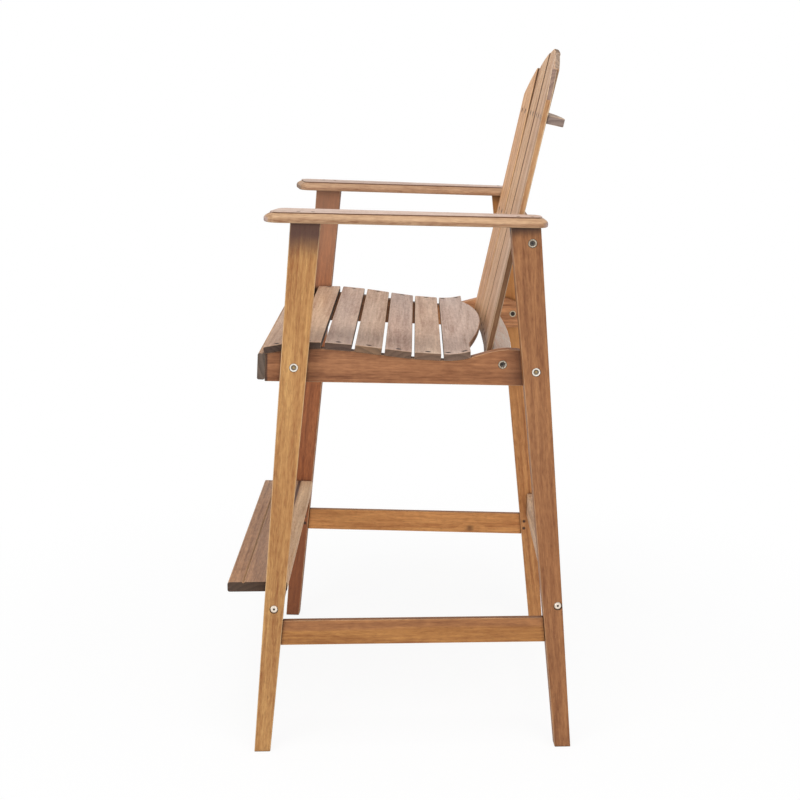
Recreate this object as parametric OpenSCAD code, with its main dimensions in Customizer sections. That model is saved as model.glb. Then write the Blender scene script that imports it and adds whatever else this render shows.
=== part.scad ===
// Adirondack bar stool: a tall slatted armchair on four tapered legs, with a footrest board.
// The sitter faces -Y, the sitter's left is +X, Z is up and the feet stand on Z = 0.
// The origin is the middle of the stool's footprint, from the footrest to the rear feet.

/* [Frame] */
// Height of the top of the back above the floor
stool_h = 1243; // [1215:1:1275]
// Distance between the inner faces of the left and right legs, halfway along the stool
frame_w = 597; // [570:1:625]
// Angle by which each side frame turns inward toward the rear
toe_in = 3; // [2:0.1:4]
// From the front edge of a front foot to the rear edge of a rear foot
foot_span = 577; // [565:1:590]
// How far the footrest stands out in front of the front feet
footrest_reach = 43; // [36:1:50]
// Lean of every leg from upright, toward the middle of the stool
leg_lean = 5.4; // [5:0.1:5.8]
// Thickness of a leg, across the stool
leg_t = 24; // [22:1:28]
// Width of a leg where it stands on the floor
foot_w = 29; // [26:1:34]
// Width of a leg at its top
leg_top_w = 51; // [48:1:54]

/* [Arms] */
// Height of the arms' undersides, halfway along the stool
arm_h = 955; // [945:1:965]
// Angle at which the arms fall toward the rear
arm_fall = 1.4; // [0.8:0.1:1.8]
// Thickness of an arm
arm_t = 17; // [15:0.5:20]
// Width of an arm at its front end
arm_front_w = 93; // [84:1:98]
// Width of an arm at its rear end
arm_rear_w = 66; // [62:1:70]
// How far an arm's outer corner stands out in front of the front leg's top
arm_nose = 44; // [38:1:48]
// How far an arm's inner front corner stands back from its outer one
arm_skew = 11; // [6:1:14]
// How far an arm stands out behind the rear leg's top
arm_tail = 14; // [10:1:17]
// How far an arm stands out past the outer face of the front leg
arm_front_overhang = 17; // [12:1:20]
// How far an arm stands out past the outer face of the rear leg
arm_rear_overhang = 8; // [6:1:12]
// Radius of an arm's corners, seen from above
arm_corner = 25; // [20:1:28]
// Width of the moulding round the top edge of an arm
moulding_w = 10.5; // [8:0.5:12]

/* [Seat] */
// Thickness of a seat rail
rail_t = 20; // [18:1:24]
// How far the seat rails stand out in front of the front legs
rail_nose = 23; // [20:1:27]
// Height of a seat rail's lower edge, halfway along the stool
rail_bottom_h = 678.5; // [672:0.5:684]
// Angle at which the rails' lower edges fall toward the rear
rail_fall = 1.4; // [0.8:0.1:2]
// Height of the scooped seat bed's lowest place above the rails' lower edges
scoop_rise = 40.5; // [38:0.5:43]
// Height of the seat bed's front crest above the lowest place
front_crest = 22.5; // [18:0.5:25]
// Height of the seat bed's rear crest above the lowest place
rear_crest = 18.5; // [15:0.5:20]
// Width of a seat slat
slat_w = 46; // [44:0.5:47]
// Gap between two seat slats
slat_gap = 5.3; // [4:0.1:6]
// Thickness of a seat slat
slat_t = 12; // [10:0.5:14]
// How far the slats' ends stand out past the rails
slat_overhang = 3; // [2:0.5:5]
// How far the rearmost slat bulges toward the back
slat_bulge = 27; // [22:0.5:28]
// Height of the front apron
apron_h = 46; // [40:1:50]
// Thickness of the front apron
apron_t = 13; // [10:0.5:16]

/* [Back] */
// Height of the middle brace, which hangs the back on the rear legs
back_h = 925; // [918:1:930]
// Angle of the back from upright
rake = 12.1; // [11.4:0.1:12.7]
// Radius of the hollow curve of the back
back_r = 3000; // [2400:50:3600]
// Angle by which the middle slat leans back from the outer two, which deepens the hollow upward
back_fan = 0.64; // [0.3:0.02:0.8]
// Room between the outer back slats and the side frames, halfway along the stool
back_side_gap = 49.5; // [46:0.5:54]
// Gap between two back slats
back_slat_gap = 2; // [1:0.1:3]
// Thickness of a back slat
back_slat_t = 9.5; // [8.5:0.5:12]
// Radius of the two arcs that the back slats' tops form
arch_r = 500; // [460:5:540]
// How far past the back's middle each arc has its centre
arch_cross = 42; // [20:1:50]
// How far the upper brace lies below the top of the back
upper_brace_drop = 122.5; // [116:0.5:130]
// How far the upper brace stands out behind the slats
upper_brace_depth = 30; // [26:1:36]
// Thickness of the upper brace
upper_brace_t = 14; // [12:1:18]
// How far the lower brace stands out behind the slats
lower_brace_depth = 36; // [30:1:40]
// Thickness of the lower brace
lower_brace_t = 18; // [16:1:22]
// Height of the middle brace between the rear legs
middle_brace_h = 42; // [36:1:46]
// How far the middle brace stands out behind the middle slat
middle_brace_depth = 18; // [16:0.5:20]

/* [Lower frame] */
// Height of the footrest's tread above the floor
tread_h = 318; // [305:1:330]
// Depth of the footrest board, from front to back
footrest_depth = 106; // [100:1:112]
// Thickness of the footrest board
footrest_t = 18; // [16:0.5:21]
// Height of the two cross rails between the legs
cross_rail_h = 50; // [44:1:56]
// Thickness of the two cross rails between the legs
cross_rail_t = 19; // [17:0.5:22]
// Height of the side stretchers' lower edges above the floor
stretcher_low = 204.5; // [190:0.5:220]
// Height of a side stretcher
stretcher_h = 46.5; // [42:0.5:52]
// Thickness of a side stretcher
stretcher_t = 11; // [10:0.5:16]
// Length of a stretcher's tenons
tenon_l = 15; // [10:0.5:18]
// Height of a stretcher's tenons
tenon_h = 31; // [26:1:36]
// Thickness of a stretcher's tenons
tenon_t = 6; // [5:0.5:8]

/* [Fasteners] */
// Diameter of the bolts' shanks
bolt_d = 6; // [5:0.5:7]
// Diameter of the bolts' heads
bolt_head_d = 14; // [13:0.5:15]
// Height of the bolts' heads
bolt_head_h = 3.5; // [3:0.1:4.5]
// Diameter of the dish in the heads of the rail and brace bolts
bolt_dish_d = 10; // [8:0.5:11]
// Diameter of the barrel nuts inside the cross members
barrel_d = 10; // [9:0.5:12]
// Length of the barrel nuts
barrel_l = 12; // [10:0.5:14]
// Diameter of the wood screws' heads
screw_head_d = 6.5; // [6:0.1:7.5]
// Clearance all round a bolt or a screw in its hole
clearance = 0.25; // [0.2:0.05:0.4]

/* [Hidden] */

// Colours
golden = "#b98a4e";
reddish = "#a8744a";
tan = "#b4906f";
steel = "#b9b6a8";
dark_steel = "#4a4540";

// Longer than the stool, deeper than any hole, and the overlap of shapes that are cut or joined
far = 2000;
deep = 100;
lap = 1;
$fn = 48;

// Footprint: the legs' feet, measured along the side frame's own line
depth = foot_span + footrest_reach;
rear_foot_edge = (depth / 2 - leg_t * sin(toe_in)) / cos(toe_in);
front_foot_edge = rear_foot_edge - foot_span;
front_foot_y = front_foot_edge + foot_w / 2;
rear_foot_y = rear_foot_edge - foot_w / 2;
footrest_front = -depth / 2;

// Arms: where they end, and the four centres of their corners seen from above
arm_front = front_leg_y(arm_h) - leg_half(arm_h) - arm_nose;
arm_rear = rear_leg_y(arm_h) + leg_half(arm_h) + arm_tail;
arm_front_outer = leg_t + arm_front_overhang;
arm_rear_outer = leg_t + arm_rear_overhang;
arm_corners = [
    [arm_front_outer - arm_corner, arm_front + arm_corner],
    [arm_rear_outer - arm_corner, arm_rear - arm_corner],
    [arm_rear_outer - arm_rear_w + arm_corner, arm_rear - arm_corner],
    [arm_front_outer - arm_front_w + arm_corner, arm_front + arm_corner + arm_skew]
];
corner_steps = 7;

// The moulding's section as [inset, height]: eased bottom edge, upright nose, swept ogee, and a small step
nose_low = 2.4;
nose_high = 6.3;
step_h = 2;
ogee_steps = 5;
ogee = [
    [0, nose_high],
    [0.2, nose_high + 4.2],
    [moulding_w * 0.62, arm_t - 2 * step_h],
    [moulding_w, arm_t - step_h]
];
arm_section = concat(
    [[nose_low, 0], [nose_low * 0.3, nose_low * 0.3], [0, nose_low]],
    [for (k = [0:ogee_steps]) bezier(ogee, k / ogee_steps)],
    [[moulding_w, arm_t]]
);

// Seat: the rails run from in front of the front legs to behind the middle of the rear legs
rail_front = front_leg_y(rail_bottom_h) - leg_half(rail_bottom_h) - rail_nose;
rail_tail = 10;
rail_rear = rear_leg_y(rail_bottom_h) + rail_tail;
crest_run = 68;
scoop_run = 317;
rear_crest_run = 418;
crest_y = rail_front + crest_run;
scoop_y = rail_front + scoop_run;
rear_crest_y = rail_front + rear_crest_run;
scoop_h = rail_bottom_h + scoop_rise;
rail_fore_drop = 8.5;
rail_aft_drop = 14;
bed_spare = 4;
first_slat_y = rail_front - 2;
slat_pitch = slat_w + slat_gap;
slat_shoulder = 76.5;
bulge_chord = frame_w / 2 - slat_shoulder;
apron_lean = 3;
apron_round = 3;

// Back: its own frame stands on the middle slat's rear face, at the middle brace
rear_bolt_back = 9.5;
middle_bolt_in = 8;
lower_bolt_in = 10;
back_at = [0, rear_leg_y(back_h) + rear_bolt_back - middle_bolt_in, back_h];
lower_brace_up = 34.5;
slat_below = 17;
lower_brace_z = (rail_bottom_h + lower_brace_up - back_h) / cos(rake);
slat_foot = lower_brace_z - slat_below;
fan_foot = back_slat_t + lower_brace_z * sin(back_fan);
back_pitch = (frame_w - 2 * back_side_gap + back_slat_gap) / 5;
back_slat_w = back_pitch - back_slat_gap;
slat_step = back_pitch / back_r * 180 / PI;
arch_top = ((stool_h - back_at.z) * cos(back_fan) - fan_foot * sin(rake)) / cos(rake + back_fan);
upper_brace_z = arch_top - upper_brace_drop;
back_screw_x = 21;
upper_brace_short = 4;

// Footrest: its groove is a shallow V
groove_back = 28;
groove_w = 6;
groove_deep = 2.5;
footrest_round = 4;

// Bolts: grips run from the underside of the head to the end of the shank
head_recess = bolt_head_h + 1;
rail_bolt_up = 29.5;
nut_short = 3;
barrel_in = 24;
rail_grip = leg_t - head_recess + rail_t - nut_short;
barrel_grip = leg_t - head_recess + barrel_in + barrel_d / 2;
lower_grip = rail_t - head_recess + barrel_in + barrel_d / 2;
head_gap = 0.8;
dish_deep = 1.8;
dome_h = 1;
dome_in = 1.6;
socket_d = 4.6;
socket_deep = 2.6;
nut_flange_d = 13;
nut_flange_t = 2.2;
nut_sleeve_d = 9;
nut_slot = 1.4;
nut_slot_l = 9;
cross_rail_z = tread_h - footrest_t - cross_rail_h / 2;

// Screws: each is its length below the head and its shank's diameter
screw_sink = 0.6;
screw_head_h = 1.8;
cross_w = 3.6;
cross_t = 0.8;
cross_deep = 0.9;
slat_screw = [26, 3.4];
rear_slat_screws_at = [0.16, 0.82];
back_screw = [22, 3.4];
arm_screw = [36, 4];
arm_screw_gap = 24;
apron_screw = [32, 3.6];
apron_screws_at = [0.3, 0.75];
footrest_screw = [56, 4];
footrest_screw_x = [60, 200];
pin_d = 2.4;
pin_l = 13;
pin_gap = 16;

// Places in the side frame: y runs along the frame and z up
function leg_y(foot_y, lean, z) = foot_y + z * tan(lean);
function leg_half(z) = (foot_w + (leg_top_w - foot_w) * z / arm_h) / 2;
function front_leg_y(z) = leg_y(front_foot_y, leg_lean, z);
function rear_leg_y(z) = leg_y(rear_foot_y, -leg_lean, z);
function rail_bottom(y) = rail_bottom_h - y * tan(rail_fall);
// Middle of the seat rails' thickness, seen from above
function rail_x(y) = frame_w / 2 - rail_t / 2 - y * tan(toe_in);
function cosine_rise(t) = (1 - cos(180 * t)) / 2;
function front_way(y) = (y - rail_front) / (crest_y - rail_front);
function bezier(p, t) =
    p[0] * pow(1 - t, 3) + p[1] * 3 * t * pow(1 - t, 2) + p[2] * 3 * t * t * (1 - t) + p[3] * t * t * t;

// Height of the seat bed, which is the rails' scooped top edge
function seat_bed(y) =
    y < crest_y ? scoop_h + front_crest - rail_fore_drop * (1 - sin(90 * front_way(y)))
    : y < scoop_y ? scoop_h + front_crest * cosine_rise((scoop_y - y) / (scoop_y - crest_y))
    : y < rear_crest_y ? scoop_h + rear_crest * cosine_rise((y - scoop_y) / (rear_crest_y - scoop_y))
    : scoop_h + rear_crest - rail_aft_drop * pow((y - rear_crest_y) / (rail_rear - rear_crest_y), 2);

function slat_front(i) = first_slat_y + (i - 1) * slat_pitch;
// The places along the bed where slat i rests: flat slats have two, the hollow rear slat has five
function slat_stations(i) =
    [for (t = i < 7 ? [0, 1] : [0, 0.25, 0.5, 0.75, 1]) slat_front(i) + t * slat_w];
seat_stations = [for (i = [1:7]) each slat_stations(i)];
bed_front = seat_chord(1, (rail_front - first_slat_y) / slat_w);
rear_bed = rail_rear + bed_spare - slat_front(8) + slat_gap;
rear_stations = [for (k = [1:8]) slat_front(8) - slat_gap + k * rear_bed / 8];
bed_line = [for (y = concat(seat_stations, rear_stations)) if (y > rail_front) [y, seat_bed(y)]];

// Bolt places in the side frame, as [y, z]
function rail_bolt(foot_y, lean) =
    let (z = rail_bottom(leg_y(foot_y, lean, rail_bottom_h)) + rail_bolt_up) [leg_y(foot_y, lean, z), z];
front_rail_bolt = rail_bolt(front_foot_y, leg_lean);
rear_rail_bolt = rail_bolt(rear_foot_y, -leg_lean);
front_low_bolt = [front_leg_y(cross_rail_z), cross_rail_z];
rear_low_bolt = [rear_leg_y(cross_rail_z) + rear_bolt_back, cross_rail_z];

// Helpers
// Stands a side frame's parts in place: x = 0 is the legs' inner face, side is 1 for left and -1 for right
module at_side(side) {
    if (side > 0)
        translate([frame_w / 2, 0, 0]) rotate([0, 0, toe_in]) children();
    else
        mirror([1, 0, 0]) translate([frame_w / 2, 0, 0]) rotate([0, 0, toe_in]) children();
}

// Extrudes an outline drawn in y and z across the stool, from x0 to x1
module across(x0, x1) {
    translate([x0, 0, 0]) rotate([90, 0, 90]) linear_extrude(x1 - x0) children();
}

// Keeps what lies between the two side frames, out to a given distance past the legs' inner faces
module between_sides(past) {
    intersection() {
        children();
        at_side(1) translate([-far, -far, 0]) cube([far + past, 2 * far, far]);
        at_side(-1) translate([-far, -far, 0]) cube([far + past, 2 * far, far]);
    }
}

// A rectangle from the origin with rounded corners
module rounded_bar(size, r) {
    translate([r, 0]) square([size.x - 2 * r, size.y]);
    translate([0, r]) square([size.x, size.y - 2 * r]);
    for (x = [r, size.x - r], y = [r, size.y - r])
        translate([x, y]) circle(r);
}

// Places children in the back's own frame: z runs up the slats and y = 0 is the middle slat's rear face
module in_back() {
    translate(back_at) rotate([-rake, 0, 0]) children();
}

// Turns children to the place of a back slat, counted from -2 on the right to 2 on the left.
// The slats start level at the lower brace, and the inner three lean back from there.
module at_back_slat(k) {
    translate([0, -back_r, 0]) rotate([0, 0, -k * slat_step]) translate([0, back_r, lower_brace_z])
        rotate([-back_fan * (1 - k * k / 4), 0, 0]) translate([0, 0, -lower_brace_z]) children();
}

// The room that the inner three slats take out of a brace
module inner_slat_room() {
    for (k = [-1:1])
        at_back_slat(k) translate([-back_pitch / 2, -deep, slat_foot]) cube([back_pitch, deep, far]);
}

// Points the z axis outward along x at a bolt's place in a side frame
module at_bolt(place, x) {
    translate([x, place.x, place.y]) rotate([0, 90, 0]) children();
}

// Fasteners, all with the underside of the head at z = 0 and the shank below it
module bolt(grip) {
    difference() {
        cylinder(d = bolt_head_d, h = bolt_head_h);
        translate([0, 0, bolt_head_h - dish_deep]) cylinder(d1 = socket_d, d2 = bolt_dish_d, h = dish_deep);
        translate([0, 0, bolt_head_h - socket_deep]) cylinder(d = socket_d, h = deep, $fn = 6);
    }
    translate([0, 0, -grip]) cylinder(d = bolt_d, h = grip);
}

// The stretchers' bolts have low domed heads
module domed_bolt(grip) {
    difference() {
        union() {
            cylinder(d = bolt_head_d, h = bolt_head_h - dome_h);
            translate([0, 0, bolt_head_h - dome_h])
                cylinder(d1 = bolt_head_d, d2 = bolt_head_d - 2 * dome_in, h = dome_h);
        }
        translate([0, 0, bolt_head_h - socket_deep]) cylinder(d = socket_d, h = deep, $fn = 6);
    }
    translate([0, 0, -grip]) cylinder(d = bolt_d, h = grip);
}

module bolt_hole(grip) {
    cylinder(d = bolt_head_d + 2 * head_gap, h = head_recess + lap);
    translate([0, 0, -grip]) cylinder(d = bolt_d + 2 * clearance, h = grip + lap);
}

module screw(size) {
    difference() {
        cylinder(d = screw_head_d, h = screw_head_h);
        for (a = [0, 90])
            rotate([0, 0, a]) translate([-cross_w / 2, -cross_t / 2, screw_head_h - cross_deep])
                cube([cross_w, cross_t, deep]);
    }
    translate([0, 0, -size.x]) cylinder(d = size.y, h = size.x);
}

module screw_hole(size) {
    cylinder(d = screw_head_d + 2 * clearance, h = deep);
    translate([0, 0, -size.x - clearance]) cylinder(d = size.y + 2 * clearance, h = size.x + lap);
}

// A flanged nut let into the rail's inner face, holding the end of a bolt; its flange is below z = 0
module rail_nut() {
    difference() {
        union() {
            translate([0, 0, -nut_flange_t]) cylinder(d = nut_flange_d, h = nut_flange_t);
            cylinder(d = nut_sleeve_d, h = rail_t / 2);
        }
        cylinder(d = bolt_d, h = rail_t);
        translate([-nut_slot_l / 2, -nut_slot / 2, -nut_flange_t - lap])
            cube([nut_slot_l, nut_slot, nut_flange_t]);
    }
}

module rail_nut_hole() {
    translate([0, 0, -lap]) cylinder(d = nut_sleeve_d + 2 * clearance, h = rail_t / 2 + lap + clearance);
}

// Where every bolt, nut and screw of one side goes
module at_rail_bolts() {
    for (place = [front_rail_bolt, rear_rail_bolt])
        at_bolt(place, leg_t - head_recess) children();
}

module at_rail_nuts() {
    for (place = [front_rail_bolt, rear_rail_bolt])
        at_bolt(place, -rail_t) children();
}

module at_low_bolts() {
    for (place = [front_low_bolt, rear_low_bolt])
        at_bolt(place, leg_t - head_recess) children();
}

// The braces' bolts stand in the middle of the braces' ends, found in the back's frame
function back_bolt(in, z) = [
    back_at.y + in * cos(rake) + z * sin(rake),
    back_at.z - in * sin(rake) + z * cos(rake)
];
middle_bolt = back_bolt(middle_bolt_in, 0);
lower_bolt = back_bolt(lower_bolt_in, lower_brace_z);

module at_middle_bolt() {
    at_bolt(middle_bolt, leg_t - head_recess) children();
}

module at_lower_bolt() {
    at_bolt(lower_bolt, -head_recess) children();
}

// Barrel nuts lie upright across the bolts' ends
module at_barrels() {
    for (place = [middle_bolt, front_low_bolt, rear_low_bolt])
        translate([-barrel_in, place.x, place.y - barrel_l / 2]) children();
    translate([-rail_t - barrel_in, lower_bolt.x, lower_bolt.y - barrel_l / 2]) children();
}

module barrel_hole() {
    translate([0, 0, -deep]) cylinder(d = barrel_d + 2 * clearance, h = deep + barrel_l + clearance);
}

module at_slat_screws(i) {
    for (side = [-1, 1], t = i < 7 ? [0.5] : rear_slat_screws_at) {
        y = slat_front(i) + t * slat_w;
        tilt = i < 7 ? slat_tilt(i) : atan2(seat_bed(y + lap) - seat_bed(y - lap), 2 * lap);
        translate([side * rail_x(y), y, seat_chord(i, t)])
            rotate([tilt, 0, 0]) translate([0, 0, slat_t - screw_head_h - screw_sink]) children();
    }
}

function slat_tilt(i) = atan2(seat_bed(slat_front(i) + slat_w) - seat_bed(slat_front(i)), slat_w);
function seat_chord(i, t) =
    i < 7 ? seat_bed(slat_front(i)) * (1 - t) + seat_bed(slat_front(i) + slat_w) * t
    : seat_bed(slat_front(i) + t * slat_w);

module at_back_screws(rows = [upper_brace_z, 0, lower_brace_z]) {
    for (z = rows, x = [-back_screw_x, back_screw_x])
        translate([x, -back_slat_t + screw_head_h + screw_sink, z]) rotate([90, 0, 0]) children();
}

module at_arm_screws() {
    translate([0, 0, arm_h]) rotate([-arm_fall, 0, 0])
        for (y = [front_leg_y(arm_h), rear_leg_y(arm_h)], d = [-1, 1])
            translate([leg_t / 2, y + d * arm_screw_gap / 2, arm_t - screw_head_h - screw_sink]) children();
}

// Places children on the apron's inner face, with y = 0 on that face and z = 0 at its upper edge
module at_apron() {
    translate([0, rail_front, bed_front]) rotate([-apron_lean, 0, 0]) children();
}

module at_apron_screws() {
    at_apron() for (side = [-1, 1], t = apron_screws_at)
        translate([side * rail_x(rail_front), -apron_t + screw_head_h + screw_sink, -t * apron_h])
            rotate([90, 0, 0]) children();
}

module at_footrest_screws() {
    for (side = [-1, 1], x = footrest_screw_x)
        translate([side * x, front_low_bolt.x, cross_rail_z - cross_rail_h / 2 + screw_head_h + screw_sink])
            rotate([180, 0, 0]) children();
}

module at_pins() {
    z = stretcher_low + stretcher_h / 2;
    for (side = [-1, 1]) {
        translate([0, front_leg_y(z) + leg_half(z) - tenon_l / 2, z + side * pin_gap / 2])
            rotate([0, 90, 0]) children();
        translate([0, rear_leg_y(z) - leg_half(z) + tenon_l / 2, z + side * pin_gap / 2])
            rotate([0, 90, 0]) children();
    }
}

module pin_hole() {
    translate([0, 0, -lap]) cylinder(d = pin_d, h = pin_l + lap);
}

// Legs
// The outline of a tapered leg, from the floor to the arm's underside
module leg_outline(foot_y, lean, spare = 0) {
    slope_front = tan(lean) - (leg_top_w - foot_w) / 2 / arm_h;
    slope_rear = tan(lean) + (leg_top_w - foot_w) / 2 / arm_h;
    front = foot_y - foot_w / 2 - spare;
    rear = foot_y + foot_w / 2 + spare;
    top_front = (arm_h - front * tan(arm_fall)) / (1 + slope_front * tan(arm_fall));
    top_rear = (arm_h - rear * tan(arm_fall)) / (1 + slope_rear * tan(arm_fall));
    polygon([
        [front, 0],
        [rear, 0],
        [rear + top_rear * slope_rear, top_rear],
        [front + top_front * slope_front, top_front]
    ]);
}

module front_leg(side) {
    color(golden) at_side(side) difference() {
        across(0, leg_t) leg_outline(front_foot_y, leg_lean);
        at_rail_bolts() bolt_hole(rail_grip);
        at_low_bolts() bolt_hole(barrel_grip);
        at_arm_screws() screw_hole(arm_screw);
        stretcher_tenons(clearance);
        at_pins() pin_hole();
    }
}

module rear_leg(side) {
    color(reddish) at_side(side) difference() {
        across(0, leg_t) leg_outline(rear_foot_y, -leg_lean);
        at_rail_bolts() bolt_hole(rail_grip);
        at_low_bolts() bolt_hole(barrel_grip);
        at_middle_bolt() bolt_hole(barrel_grip);
        at_arm_screws() screw_hole(arm_screw);
        stretcher_tenons(clearance);
        at_pins() pin_hole();
    }
}

// Arms: a tapered board whose upper edge is moulded all round
// Direction square to the edge that follows corner k of the arm, pointing outward
function edge_angle(k) =
    let (a = arm_corners[k % 4], b = arm_corners[(k + 1) % 4]) atan2(b.y - a.y, b.x - a.x) - 90;
function arm_ring(inset, z) = [
    for (k = [0:3], s = [0:corner_steps])
        let (
            from = edge_angle((k + 3) % 4),
            turn = ((edge_angle(k) - from) % 360 + 360) % 360,
            a = from + turn * s / corner_steps,
            at = arm_corners[k] + (arm_corner - inset) * [cos(a), sin(a)]
        )
        [at.x, at.y, z]
];

module arm_board() {
    ring = 4 * (corner_steps + 1);
    last = len(arm_section) - 1;
    points = [for (level = arm_section) each arm_ring(level.x, level.y)];
    walls = [
        for (level = [0:last - 1], k = [0:ring - 1])
            let (a = level * ring + k, b = level * ring + (k + 1) % ring)
            [a, a + ring, b + ring, b]
    ];
    polyhedron(
        points,
        concat(walls, [[for (k = [0:ring - 1]) k], [for (k = [ring - 1:-1:0]) last * ring + k]]),
        convexity = 4
    );
}

module arm(side) {
    color(tan) at_side(side) difference() {
        translate([0, 0, arm_h]) rotate([-arm_fall, 0, 0]) arm_board();
        at_arm_screws() screw_hole(arm_screw);
    }
}

// Seat
// What lies under the seat bed and behind the apron, right across the stool
module under_bed() {
    across(-far / 2, far / 2) polygon(concat(
        [[rail_front - deep * tan(apron_lean), bed_front - deep], [rail_front, bed_front]],
        bed_line,
        [[rail_rear + bed_spare, bed_front - deep]]
    ));
}

module seat_rail(side) {
    color(reddish) difference() {
        intersection() {
            under_bed();
            at_side(side) across(-rail_t, 0) polygon([
                [rail_front - deep, rail_bottom(rail_front - deep)],
                [rail_rear, rail_bottom(rail_rear)],
                [rail_rear, scoop_h + deep],
                [rail_front - deep, scoop_h + deep]
            ]);
        }
        at_side(side) {
            at_rail_bolts() bolt_hole(rail_grip);
            at_rail_nuts() rail_nut_hole();
            at_lower_bolt() bolt_hole(lower_grip);
        }
        at_apron_screws() screw_hole(apron_screw);
        for (i = [1:7])
            at_slat_screws(i) screw_hole(slat_screw);
    }
}

module front_apron() {
    color(tan) difference() {
        between_sides(0) at_apron() translate([0, -apron_t, -apron_h])
            across(-far / 2, far / 2) rounded_bar([apron_t, apron_h], apron_round);
        at_apron_screws() screw_hole(apron_screw);
        at_side(1) legs_and_spare();
        at_side(-1) legs_and_spare();
    }
}

// The legs' outlines with room to spare, which notch the slats beside them
module legs_and_spare() {
    across(-clearance, far) leg_outline(front_foot_y, leg_lean, clearance);
    across(-clearance, far) leg_outline(rear_foot_y, -leg_lean, clearance);
}

// A slat's section: its lower edge lies on the bed, and its upper edge is the same line one thickness higher
module slat_section(i) {
    stations = slat_stations(i);
    last = stations[len(stations) - 1];
    tip = i < 7 ? [] : [last + slat_bulge + lap];
    ys = concat(stations, tip);
    slope_end = seat_bed(last) - seat_bed(last - 1);
    low = [for (y = ys) [y, y > last ? seat_bed(last) + (y - last) * slope_end : seat_bed(y)]];
    tilt = slat_tilt(i);
    up = i < 7 ? slat_t * [-sin(tilt), cos(tilt)] : [0, slat_t];
    polygon(concat(low, [for (k = [len(low) - 1:-1:0]) low[k] + up]));
}

// The rearmost slat in plan: square shoulders, and between them an arc that follows the back
module rear_slat_plan() {
    shoulder = slat_front(7) + slat_w;
    r = (bulge_chord * bulge_chord + slat_bulge * slat_bulge) / (2 * slat_bulge);
    translate([-far / 2, slat_front(7) - slat_gap]) square([far, slat_gap + slat_w]);
    intersection() {
        translate([0, shoulder + slat_bulge - r]) circle(r, $fn = 360);
        translate([-far / 2, shoulder - lap]) square([far, slat_bulge + 2 * lap]);
    }
}

module seat_slat(i) {
    color(tan) difference() {
        between_sides(slat_overhang) intersection() {
            across(-far / 2, far / 2) slat_section(i);
            linear_extrude(far) {
                if (i < 7) square(far, center = true);
                else rear_slat_plan();
            }
        }
        at_slat_screws(i) screw_hole(slat_screw);
        if (i < 3) {
            at_side(1) legs_and_spare();
            at_side(-1) legs_and_spare();
        }
    }
}

// Back
// What lies under the arch: two arcs that meet over the middle, and all that is below their centres
module arch() {
    centre_z = arch_top - sqrt(arch_r * arch_r - arch_cross * arch_cross);
    translate([0, 0, centre_z]) rotate([90, 0, 0]) {
        intersection_for(side = [-1, 1])
            translate([side * arch_cross, 0, -deep]) cylinder(r = arch_r, h = 2 * deep, $fn = 360);
        translate([-far / 2, -far, -deep]) cube([far, far, 2 * deep]);
    }
}

module back_slat(i) {
    k = 3 - i;
    color(golden) in_back() intersection() {
        at_back_slat(k) difference() {
            translate([-back_slat_w / 2, -back_slat_t, slat_foot]) cube([back_slat_w, back_slat_t, far]);
            at_back_screws() screw_hole(back_screw);
        }
        arch();
    }
}

// Corner of the braces' front face where two slats meet, counted from the middle slat
function brace_corner(j) =
    let (a = j * slat_step, r = back_r / cos(slat_step / 2)) [r * sin(a), r * cos(a) - back_r];
// Point on the outer slat's line, at a distance along it from that slat's middle
function brace_end(side, along) =
    let (a = 2 * slat_step)
    [side * (back_r * sin(a) + along * cos(a)), back_r * cos(a) - back_r - along * sin(a)];
function brace_front(along) = concat(
    [brace_end(-1, along)],
    [for (j = [-1.5:1:1.5]) brace_corner(j)],
    [brace_end(1, along)]
);

// A brace in plan: its front fits the five slats, and its rear is an arc round the same centre
module curved_brace_plan(along, d) {
    ends = brace_end(1, along);
    reach = atan2(ends.x, back_r);
    rear = [for (s = [12:-1:-12]) (back_r + d) * [sin(reach * s / 12), cos(reach * s / 12)] - [0, back_r]];
    polygon(concat(brace_front(along), rear));
}

module upper_back_brace() {
    color(tan) in_back() difference() {
        translate([0, 0, upper_brace_z - upper_brace_t / 2]) linear_extrude(upper_brace_t)
            curved_brace_plan(back_slat_w / 2 - upper_brace_short, upper_brace_depth);
        inner_slat_room();
        for (k = [-2:2])
            at_back_slat(k) at_back_screws([upper_brace_z]) screw_hole(back_screw);
    }
}

module lower_back_brace() {
    color(tan) difference() {
        between_sides(-rail_t) in_back() difference() {
            translate([0, 0, lower_brace_z - lower_brace_t / 2]) linear_extrude(lower_brace_t)
                curved_brace_plan(back_slat_w, lower_brace_depth);
            inner_slat_room();
            for (k = [-2:2])
                at_back_slat(k) at_back_screws([lower_brace_z]) screw_hole(back_screw);
        }
        for (side = [-1, 1])
            at_side(side) {
                at_lower_bolt() bolt_hole(lower_grip);
                at_barrels() barrel_hole();
            }
    }
}

// The middle brace is straight behind, and its ends meet the rear legs
module middle_back_brace() {
    along = back_slat_w / 2 + back_side_gap + leg_t;
    end_x = brace_end(1, along).x;
    color(golden) difference() {
        between_sides(0) in_back() difference() {
            translate([0, 0, -middle_brace_h / 2]) linear_extrude(middle_brace_h) polygon(concat(
                brace_front(along),
                [[end_x, middle_brace_depth], [-end_x, middle_brace_depth]]
            ));
            inner_slat_room();
            for (k = [-2:2])
                at_back_slat(k) at_back_screws([0]) screw_hole(back_screw);
        }
        for (side = [-1, 1])
            at_side(side) {
                at_middle_bolt() bolt_hole(barrel_grip);
                at_barrels() barrel_hole();
            }
    }
}

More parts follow.
